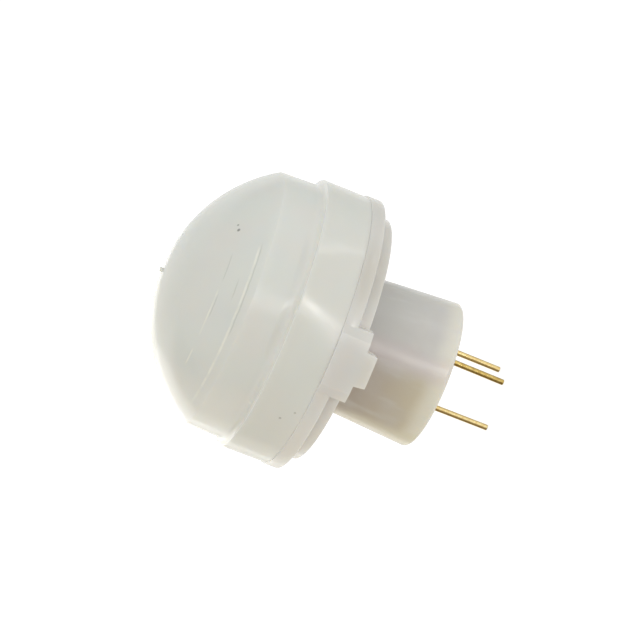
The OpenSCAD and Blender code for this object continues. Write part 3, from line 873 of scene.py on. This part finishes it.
def holder(paint):
    """Holder with its index tab, and a notch in the lip for the header's key."""
    spigot_top = SEAM_HEIGHT + SPIGOT_HEIGHT
    rounds = (
        (STEM_END_ROUND, 6, ((STEM_END_RADIUS, 0),)),
        (STEM_ROOT_ROUND, 4, ((STEM_ROOT_RADIUS, FLOOR_HEIGHT),)),
        (RIM_ROUND, 3, ((STEP_RADIUS, FLOOR_HEIGHT), (RIM_RADIUS, RIM_HEIGHT))),
        (SPIGOT_ROUND, 2, ((RIM_RADIUS, SEAM_HEIGHT), (SPIGOT_RADIUS, spigot_top))),
    )
    piece = drawn_section("holder_moulding", holder_section(), rounds)
    turn_section(piece)
    combine(piece, index_tab(), "UNION")
    notch_outline = level_box(KEY_WIDTH / 2 + SLIP, KEY_RADIUS + SLIP, -OVERSHOOT)
    notch = extruded_outline("key_notch", notch_outline, (0, 0, OVERSHOOT + HEADER_TOP_HEIGHT + SLIP))
    combine(piece, notch, "DIFFERENCE")
    finish_piece(piece, paint, ["holder"])


# Detector: header, glass seals and leads


def detector_place(angle):
    """Axis of a lead that stands at this angle on the circle."""
    a = math.radians(angle) + DETECTOR_TURN
    return Vector((math.cos(a), math.sin(a), 0)) * LEAD_CIRCLE / 2 + ACROSS * DETECTOR_SHIFT


def eyelet(angle):
    """What a glass seal takes up in the header: a hole with a rounded lower end."""
    section = [
        (0, HEADER_HEIGHT - OVERSHOOT),
        (SEAL_RADIUS + EYELET_ROUND, HEADER_HEIGHT - OVERSHOOT),
        (SEAL_RADIUS + EYELET_ROUND, HEADER_HEIGHT),
        (SEAL_RADIUS, HEADER_HEIGHT + EYELET_ROUND),
        (SEAL_RADIUS, PLATEAU_HEIGHT + OVERSHOOT),
        (0, PLATEAU_HEIGHT + OVERSHOOT),
    ]
    piece = drawn_section("eyelet", section)
    turn_section(piece, SEAL_STEPS)
    move_piece(piece, detector_place(angle))
    return piece


def header(paint):
    """Stamped metal base with a plateau, a key and two holes for the sealed leads."""
    section = [
        (0, HEADER_HEIGHT),
        (HEADER_RADIUS, HEADER_HEIGHT),
        (HEADER_RADIUS, HEADER_TOP_HEIGHT),
        (PLATEAU_RADIUS, HEADER_TOP_HEIGHT),
        (PLATEAU_RADIUS, PLATEAU_HEIGHT),
        (0, PLATEAU_HEIGHT),
    ]
    upper_corners = ((HEADER_RADIUS, HEADER_TOP_HEIGHT), (PLATEAU_RADIUS, PLATEAU_HEIGHT))
    rounds = (
        (HEADER_ROUND, 4, ((HEADER_RADIUS, HEADER_HEIGHT),)),
        (PLATEAU_ROUND, 3, upper_corners),
        (PLATEAU_FOOT_ROUND, 3, ((PLATEAU_RADIUS, HEADER_TOP_HEIGHT),)),
    )
    piece = drawn_section("header_stamping", section, rounds)
    turn_section(piece, HEADER_STEPS)
    key_outline = level_box(KEY_WIDTH / 2, KEY_RADIUS, HEADER_HEIGHT)
    key = extruded_outline("header_key", key_outline, (0, 0, HEADER_TOP_HEIGHT - HEADER_HEIGHT))
    soften_edges(key, KEY_ROUND)
    combine(piece, key, "UNION")
    for angle in SEALED_LEADS:
        combine(piece, eyelet(angle), "DIFFERENCE")
    finish_piece(piece, paint, ["header"])


def glass_seal(node, angle, paint):
    """Bead of glass round a lead. Its faces sag where they wet the lead and the header."""
    section = []
    for i in range(SAG_STEPS + 1):
        radius = LEAD_RADIUS + (SEAL_RADIUS - LEAD_RADIUS) * i / SAG_STEPS
        sag = SEAL_SAG * math.sin(math.pi * i / SAG_STEPS)
        section.append((radius, HEADER_HEIGHT + sag))
    for i in range(SAG_STEPS + 1):
        radius = SEAL_RADIUS + (POST_RADIUS - SEAL_RADIUS) * i / SAG_STEPS
        sag = SEAL_SAG * math.sin(math.pi * i / SAG_STEPS)
        section.append((radius, PLATEAU_HEIGHT - sag))
    section.append(section[0])
    piece = drawn_section(node + "_bead", section)
    turn_section(piece, SEAL_STEPS)
    move_piece(piece, detector_place(angle))
    finish_piece(piece, paint, [node], 60)


def lead(node, angle, tip, lean, paint):
    """A gold-plated wire with a rounded cut end. The ground lead has a welded head."""
    section = [(0, tip), (LEAD_RADIUS, tip)]
    rounds = [(LEAD_TIP_ROUND, 5, ((LEAD_RADIUS, tip),))]
    if angle in SEALED_LEADS:
        section += [
            (LEAD_RADIUS, HEADER_HEIGHT),
            (POST_RADIUS, PLATEAU_HEIGHT),
            (POST_RADIUS, POST_TOP_HEIGHT),
            (0, POST_TOP_HEIGHT),
        ]
        rounds.append((LEAD_HEAD_ROUND, 3, ((POST_RADIUS, POST_TOP_HEIGHT),)))
    else:
        weld = HEADER_HEIGHT - WELD_THICKNESS
        section += [
            (LEAD_RADIUS, weld),
            (WELD_RADIUS, weld),
            (WELD_RADIUS, HEADER_HEIGHT),
            (0, HEADER_HEIGHT),
        ]
        rounds.append((LEAD_HEAD_ROUND, 3, ((LEAD_RADIUS, weld), (WELD_RADIUS, weld))))
    piece = drawn_section(node + "_wire", section, rounds)
    turn_section(piece, LEAD_STEPS)
    move_piece(piece, detector_place(angle))
    lean_piece(piece, detector_place(angle) + AXIS * HEADER_HEIGHT, lean)
    finish_piece(piece, paint, [node])


# Plastics


def make_milky(paint, tree, shader, place):
    """Light goes into the plastic and comes out again nearby, less of it for blue.

    The touching faces of cap and holder carry a painted glow, standing in for the light that passes from one
    piece to the other."""
    # Painted glow on the touching faces at the seam
    from_seam = reckon(tree, "ABSOLUTE", reckon(tree, "SUBTRACT", height_of(tree, place), SEAM_HEIGHT))
    at_seam = spread(tree, from_seam, 2 * JOINT_GAP, 3 * JOINT_GAP, JOINT_PAINTED_GLOW, 0)
    fade, end = COLLAR_RADIUS - JOINT_GLOW_FADE, COLLAR_RADIUS - JOINT_GLOW_END
    inside = spread(tree, distance_from_axis(tree, place), fade, end, 1, 0)
    tree.links.new(reckon(tree, "MULTIPLY", at_seam, inside), shader.inputs["Emission Strength"])
    shader.inputs["Emission Color"].default_value = (1, 0.98, 0.93, 1)
    paint.cycles.emission_sampling = "NONE"
    shader.inputs["Subsurface Weight"].default_value = MILKY_SHARE
    shader.inputs["Subsurface Radius"].default_value = (1, 0.9, 0.75)
    shader.inputs["Subsurface Scale"].default_value = MILKY_DEPTH * MM
    shader.inputs["IOR"].default_value = 1.5


def spot(tree, place, centre, radius):
    """1 near the place, 0 outside the radius."""
    away = add_node(tree, "ShaderNodeVectorMath", {0: place, 1: centre}, operation="DISTANCE")
    return spread(tree, away.outputs["Value"], 0.5 * radius, 1.3 * radius, 1, 0)


def dome_angles(tree, place):
    """Angle from the axis at the dome's centre, and angle round the axis, in radians."""
    centre = (0, 0, DOME_CENTRE_HEIGHT)
    from_centre = add_node(tree, "ShaderNodeVectorMath", {0: place, 1: centre}, operation="SUBTRACT")
    from_centre = from_centre.outputs["Vector"]
    way = add_node(tree, "ShaderNodeVectorMath", {0: from_centre}, operation="NORMALIZE")
    parts = add_node(tree, "ShaderNodeSeparateXYZ", {0: way.outputs["Vector"]}).outputs
    polar = reckon(tree, "ARCCOSINE", parts["Z"])
    turn = reckon(tree, "ARCTAN2", parts["Y"], parts["X"])
    return polar, turn


def dome_line(tree, angles, polar, start, end, width):
    """1 on a hairline along a circle of the dome, between two angles in degrees."""
    from_axis, turn = angles
    away = reckon(tree, "ABSOLUTE", reckon(tree, "SUBTRACT", from_axis, math.radians(polar)))
    on_line = spread(tree, away, 0, width / DOME_RADIUS, 1, 0)
    start, end = math.radians(start), math.radians(end)
    after = spread(tree, turn, start, start + LINE_FADE)
    before = spread(tree, turn, end - LINE_FADE, end, 1, 0)
    return reckon(tree, "MULTIPLY", on_line, reckon(tree, "MULTIPLY", after, before))


def hairlines(tree, place):
    """The light and the dark hairlines: painted light and painted shade along the dome's fine creases. Places
    shifted a little at random keep them uneven.
    """
    drift = add_node(tree, "ShaderNodeTexNoise", {"Vector": place, "Scale": 1.2}).outputs["Color"]
    shift = stretched(tree, drift, (LINE_DRIFT, LINE_DRIFT, LINE_DRIFT))
    bent = add_node(tree, "ShaderNodeVectorMath", {0: place, 1: shift}, operation="ADD")
    angles = dome_angles(tree, bent.outputs["Vector"])
    light = strongest(tree, [dome_line(tree, angles, *line) for line in LIGHT_LINES])
    dark = strongest(tree, [dome_line(tree, angles, *line) for line in DARK_LINES])
    return light, dark


def collar_warp(tree, place):
    """Slight twist of the collar over the index tab, in millimetres. It slants the highlight there."""
    across = reckon(tree, "SUBTRACT", dot(tree, place, ACROSS), WARP_ACROSS)
    level = reckon(tree, "SUBTRACT", height_of(tree, place), WARP_HEIGHT)
    near = spread(tree, reckon(tree, "ABSOLUTE", across), *WARP_SIDE_FADE, 1, 0)
    near = reckon(tree, "MULTIPLY", near, spread(tree, level, *WARP_TOP_FADE, 1, 0))
    twist = reckon(tree, "MULTIPLY", across, level)
    return reckon(tree, "MULTIPLY", reckon(tree, "MULTIPLY", twist, WARP_TWIST), near)


def lens_painted_shading(tree, place, tone):
    """Painted light on the low side and painted shade on top, a painted glow just above the shoulder's edge,
    and painted shade on the collar below it, strongest at that edge.
    """
    level = height_of(tree, place)
    above = spread(tree, level, *[SHOULDER_HEIGHT - drop for drop in SHOULDER_SPLIT])
    # Painted light on the low side, painted shade on the dome's top
    low_side = spread(tree, dot(tree, place, ACROSS), *LENS_LOW_FADE, 0.8, 0)
    tone = blend(tree, reckon(tree, "MULTIPLY", low_side, above), tone, LENS_LOW_PAINTED_LIGHT)
    tone = blend(tree, spread(tree, level, *LENS_TOP_FADE, 0, 0.6), tone, LENS_TOP_PAINTED_SHADE)
    # Painted glow above the shoulder's edge, painted shade on the collar below it
    fading_up = spread(tree, level, *[SHOULDER_HEIGHT + rise for rise in SHOULDER_FADE_UP], 1, 0)
    tone = blend(tree, reckon(tree, "MULTIPLY", above, fading_up), tone, SHOULDER_PAINTED_GLOW)
    below = reckon(tree, "SUBTRACT", 1, above)
    fading_down = spread(tree, level, SHOULDER_HEIGHT - SHOULDER_FADE_DOWN, SHOULDER_HEIGHT, 0.45, 1)
    return blend(tree, reckon(tree, "MULTIPLY", below, fading_down), tone, SHOULDER_EDGE_PAINTED_SHADE)


def lens_plastic():
    """Milky plastic with faint blotches, hairlines of painted light and shade along the lenslet rings and a
    few specks, with painted light and shade by side, height and shoulder.
    """
    paint, tree, shader = new_paint("lens_plastic", LENS_COLOUR, 0.3)
    place = part_place(tree)
    make_milky(paint, tree, shader, place)
    tone = blend(tree, spread(tree, noise(tree, place, 4.5), 0.36, 0.64), LENS_COOL, LENS_WARM)
    light, dark = hairlines(tree, place)
    uneven = spread(tree, noise(tree, place, 1.1), 0.35, 0.6, 0.4, 1)
    # Hairlines: painted light and painted shade along the creases
    tone = blend(tree, reckon(tree, "MULTIPLY", light, uneven), tone, LINE_LIGHT)
    tone = blend(tree, reckon(tree, "MULTIPLY", dark, 0.35), tone, LINE_DARK)
    tone = lens_painted_shading(tree, place, tone)
    for centre, radius, strength in DARK_SPECKS:
        speck = reckon(tree, "MULTIPLY", spot(tree, place, centre, radius), strength)
        tone = blend(tree, speck, tone, SPECK_COLOUR)
    tone = blend(tree, spot(tree, place, *LIGHT_SPECK), tone, LINE_LIGHT)
    use_colour(tree, shader, tone)
    use_roughness(tree, shader, noise(tree, place, 1.6), 0.16, 0.24)
    grain = reckon(tree, "MULTIPLY", noise(tree, place, 0.3, 1), 0.04)
    height = reckon(tree, "ADD", noise(tree, place, 2.6, 1), grain)
    height = reckon(tree, "SUBTRACT", height, reckon(tree, "MULTIPLY", dark, 0.15))
    warp = reckon(tree, "DIVIDE", collar_warp(tree, place), LENS_RELIEF)
    relief(tree, shader, reckon(tree, "ADD", height, warp), LENS_RELIEF)
    return paint


def stem_shading_and_mottle(tree, place, side, height):
    """Painted light and shade: grey near the floor and on the high side, brown on the low side, a cream
    painted glow at the open end and a pink painted highlight, with random grey clouds and streaks.
    """
    upper = spread(tree, side, *STEM_SIDE_FADE)
    # Lit and shaded copies at the open end and at the root
    end = blend(tree, upper, STEM_END_SHADED, STEM_END_LIT)
    root = blend(tree, upper, STEM_ROOT_SHADED_LOW, STEM_ROOT_SHADED_HIGH)
    shade = blend(tree, spread(tree, height, *STEM_HEIGHTS), end, root)
    clouds = spread(tree, noise(tree, place, 3.1, 4), 0.42, 0.66, 0, 0.35)
    shade = blend(tree, clouds, shade, STEM_GREY)
    # Cream painted glow at the open end
    shade = blend(tree, spread(tree, height, *STEM_RIM_FADE, 0.75, 0), shade, STEM_RIM_PAINTED_GLOW)
    # Pink painted highlight streak
    rise = spread(tree, side, *STEM_PINK_START)
    fall = spread(tree, side, *STEM_PINK_END, 0.32, 0)
    shade = blend(tree, reckon(tree, "MULTIPLY", rise, fall), shade, STEM_PAINTED_HIGHLIGHT)
    # Painted shade along the low edge
    shade = blend(tree, spread(tree, side, *STEM_EDGE_FADE, 0.8, 0), shade, STEM_END_SHADED)
    streaks = noise(tree, stretched(tree, place, (1, 1, 0.25)), 1.1)
    return blend(tree, spread(tree, streaks, 0.5, 0.72, 0, 0.3), shade, HOLDER_COOL)


def holder_plastic():
    """Milky plastic, with painted shade on its high side and painted light on its low side, greyer and
    browner in painted shade round the metal can, and a cream painted glow at the stem's open end.
    """
    paint, tree, shader = new_paint("holder_plastic", HOLDER_COLOUR, 0.3)
    place = part_place(tree)
    make_milky(paint, tree, shader, place)
    level = height_of(tree, place)
    blotches = noise(tree, place, 2.4)
    ragged = reckon(tree, "SUBTRACT", blotches, 0.5)
    height = reckon(tree, "ADD", level, reckon(tree, "MULTIPLY", ragged, 0.8))
    side = reckon(tree, "ADD", dot(tree, place, ACROSS), ragged)
    tone = blend(tree, spread(tree, blotches, 0.35, 0.65), HOLDER_COOL, HOLDER_WARM)
    # Painted shade on the high side, painted light on the low side
    rise = spread(tree, side, *HOLDER_UPPER_START)
    fall = spread(tree, side, *HOLDER_UPPER_END, 1, 0.3)
    tone = blend(tree, reckon(tree, "MULTIPLY", rise, fall), tone, HOLDER_UPPER_PAINTED_SHADE)
    tone = blend(tree, spread(tree, side, *HOLDER_LOWER_FADE, 1, 0), tone, HOLDER_LOWER_PAINTED_LIGHT)
    tone = blend(tree, spread(tree, level, *NUB_FADE, 1, 0), tone, NUB_COLOUR)
    # Painted light and shade on the stem, round the metal can
    near_can = spread(tree, distance_from_axis(tree, place), *STEM_OUT_FADE, 1, 0)
    below_floor = spread(tree, height, *FLOOR_FADE, 1, 0)
    on_stem = reckon(tree, "MULTIPLY", near_can, below_floor)
    use_colour(tree, shader, blend(tree, on_stem, tone, stem_shading_and_mottle(tree, place, side, height)))
    use_roughness(tree, shader, noise(tree, place, 1.4), 0.21, 0.265)
    grain = reckon(tree, "MULTIPLY", noise(tree, place, 0.3, 1), 0.05)
    relief(tree, shader, reckon(tree, "ADD", noise(tree, place, 2.2, 1), grain), HOLDER_RELIEF)
    return paint


# Metals, glass and the pieces inside the can


def lead_gold(name, tip, gold, gold_dark):
    """Gold plating with drawing lines along the wire, worn to the base metal on the cut end."""
    paint, tree, shader = new_paint(name, gold, 0.2, 1)
    place = part_place(tree)
    lines = noise(tree, stretched(tree, place, (1, 1, 0.06)), 0.05, 2)
    stains = noise(tree, place, 0.9)
    tone = blend(tree, spread(tree, noise(tree, place, 0.22), 0.35, 0.65), gold, gold_dark)
    ragged = reckon(tree, "ADD", height_of(tree, place), reckon(tree, "MULTIPLY", stains, 0.08))
    cut = spread(tree, ragged, tip + 0.05, tip + 0.09, 1, 0)
    use_colour(tree, shader, blend(tree, cut, tone, BASE_METAL))
    use_roughness(tree, shader, stains, 0.14, 0.26)
    relief(tree, shader, lines, 0.001)
    return paint


def header_gold():
    """Dull gold plating on the stamped header, darker in patches."""
    paint, tree, shader = new_paint("header_metal", HEADER_GOLD, 0.35, 1)
    place = part_place(tree)
    stains = noise(tree, place, 1.2)
    use_colour(tree, shader, blend(tree, spread(tree, stains, 0.35, 0.7), HEADER_GOLD, GOLD_DARK))
    use_roughness(tree, shader, noise(tree, place, 0.5), 0.29, 0.45)
    relief(tree, shader, noise(tree, place, 0.08), 0.006)
    return paint


def dark_glass():
    """Dark sealing glass with tiny bubbles."""
    paint, tree, shader = new_paint("seal_glass", GLASS, 0.06)
    shader.inputs["Transmission Weight"].default_value = 0.35
    shader.inputs["IOR"].default_value = 1.52
    place = part_place(tree)
    bubbles = add_node(tree, "ShaderNodeTexVoronoi", {"Vector": place, "Scale": 9}).outputs["Distance"]
    use_colour(tree, shader, blend(tree, spread(tree, bubbles, 0.08, 0.2, 1, 0), GLASS, GLASS_BUBBLE))
    relief(tree, shader, noise(tree, place, 0.3), 0.01)
    return paint


def nickel():
    """Nickel plating on drawn steel, with drawing lines up the can."""
    paint, tree, shader = new_paint("can_metal", NICKEL, 0.25, 1)
    place = part_place(tree)
    lines = noise(tree, stretched(tree, place, (1, 1, 0.05)), 0.12, 2)
    stains = spread(tree, noise(tree, place, 1.5), 0.4, 0.7)
    use_colour(tree, shader, blend(tree, stains, NICKEL_LIGHT, NICKEL_DARK))
    use_roughness(tree, shader, lines, 0.18, 0.26)
    relief(tree, shader, lines, 0.005)
    return paint


def coated_silicon():
    """Mirror-like filter with an interference coating of uneven thickness."""
    paint, tree, shader = new_paint("filter_silicon", FILTER, 0.05, 1)
    place = part_place(tree)
    drift = spread(tree, noise(tree, place, 2.5, 1), 0.35, 0.65)
    use_colour(tree, shader, blend(tree, drift, FILTER_VIOLET, FILTER_BLUE))
    use_roughness(tree, shader, noise(tree, place, 0.3), 0.03, 0.1)
    return paint


def speckled(name, first, second, size, roughness, depth, metallic=0):
    """Two close colours in blotches of this size, with a matching relief."""
    paint, tree, shader = new_paint(name, first, roughness, metallic)
    place = part_place(tree)
    blotches = noise(tree, place, size)
    use_colour(tree, shader, blend(tree, spread(tree, blotches, 0.4, 0.65), first, second))
    use_roughness(tree, shader, blotches, roughness - 0.08, roughness + 0.08)
    relief(tree, shader, noise(tree, place, size / 3), depth)
    return paint


def chip_part(name, body, body_dark, node):
    """Ceramic body with tinned ends, for the CAD node that it covers."""
    paint, tree, shader = new_paint(name, body, 0.4)
    place = part_place(tree)
    tone = blend(tree, spread(tree, noise(tree, place, 0.12), 0.4, 0.65), body, body_dark)
    values = {0: place, 1: middle_of(node)}
    offset = add_node(tree, "ShaderNodeVectorMath", values, operation="SUBTRACT")
    parts = add_node(tree, "ShaderNodeSeparateXYZ", {0: offset.outputs["Vector"]}).outputs
    bare = PASSIVE_WIDTH / 2 - TERMINAL_LENGTH
    tinned = spread(tree, reckon(tree, "ABSOLUTE", parts["X"]), bare - 0.01, bare)
    use_colour(tree, shader, blend(tree, tinned, tone, TINNED))
    tree.links.new(tinned, shader.inputs["Metallic"])
    relief(tree, shader, noise(tree, place, 0.06), 0.004)
    return paint


def middle_of(node):
    """Middle of a CAD node's box, in millimetres."""
    corners = [Vector(corner) for corner in node.bound_box]
    return (corners[0] + corners[6]) / 2 / MM


def dress_inner_nodes():
    """Materials for the pieces that stay as the CAD made them, inside the can."""
    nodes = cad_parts
    signal, supply = nodes["capacitor_signal"], nodes["capacitor_supply"]
    gold = speckled("thin_gold", GOLD, GOLD_DARK, 0.2, 0.18, 0.002, 1)
    silver = speckled("joint_silver", SILVER_PASTE, SILVER_PASTE_DARK, 0.06, 0.55, 0.01)
    paints = {
        "sensor_can": nickel(),
        "infrared_filter": coated_silicon(),
        "filter_adhesive": speckled("black_adhesive", ADHESIVE, ADHESIVE_DARK, 0.3, 0.4, 0.01),
        "circuit_carrier": speckled("carrier_resin", RESIN, RESIN_DARK, 0.5, 0.5, 0.006),
        "carrier_tracks": gold,
        "amplifier_chip": speckled("chip_silicon", CHIP, CHIP_DARK, 0.25, 0.18, 0.001),
        "capacitor_signal": chip_part("capacitor_ceramic_signal", CAPACITOR, CAPACITOR_DARK, signal),
        "capacitor_supply": chip_part("capacitor_ceramic_supply", CAPACITOR, CAPACITOR_DARK, supply),
        "chip_resistor": chip_part("resistor_ceramic", RESISTOR, RESISTOR_DARK, nodes["chip_resistor"]),
        "bond_wires": gold,
        "lead_joints": silver,
        "pyro_element": speckled("element_crystal", CRYSTAL, CRYSTAL_DARK, 0.6, 0.38, 0.002),
        "element_electrodes": speckled("electrode_film", FILM, FILM_DARK, 0.1, 0.5, 0.002),
        "element_joints": silver,
    }
    for name, paint in paints.items():
        nodes[name].data.materials.clear()
        nodes[name].data.materials.append(paint)


# The studio, then the pieces

photo_camera()
studio_world()
studio_floor()
studio_lights()

lens_cap(lens_plastic())
holder(holder_plastic())
header(header_gold())
glass = dark_glass()
glass_seal("glass_seal_signal", SIGNAL_ANGLE, glass)
glass_seal("glass_seal_supply", SUPPLY_ANGLE, glass)
long_tip = -LEAD_LENGTH
short_tip = SUPPLY_CUT - LEAD_LENGTH
long_gold = lead_gold("lead_gold", long_tip, GOLD, GOLD_DARK)
# The near supply lead: darker gold as painted shade
short_shaded_gold = lead_gold("lead_gold_supply_painted_shade", short_tip, SHADED_NEAR_GOLD, NEAR_GOLD_DARK)
lead("lead_signal", SIGNAL_ANGLE, long_tip, SIGNAL_LEAN, long_gold)
lead("lead_supply", SUPPLY_ANGLE, short_tip, SUPPLY_LEAN, short_shaded_gold)
lead("lead_ground", GROUND_ANGLE, long_tip, GROUND_LEAN, long_gold)
dress_inner_nodes()
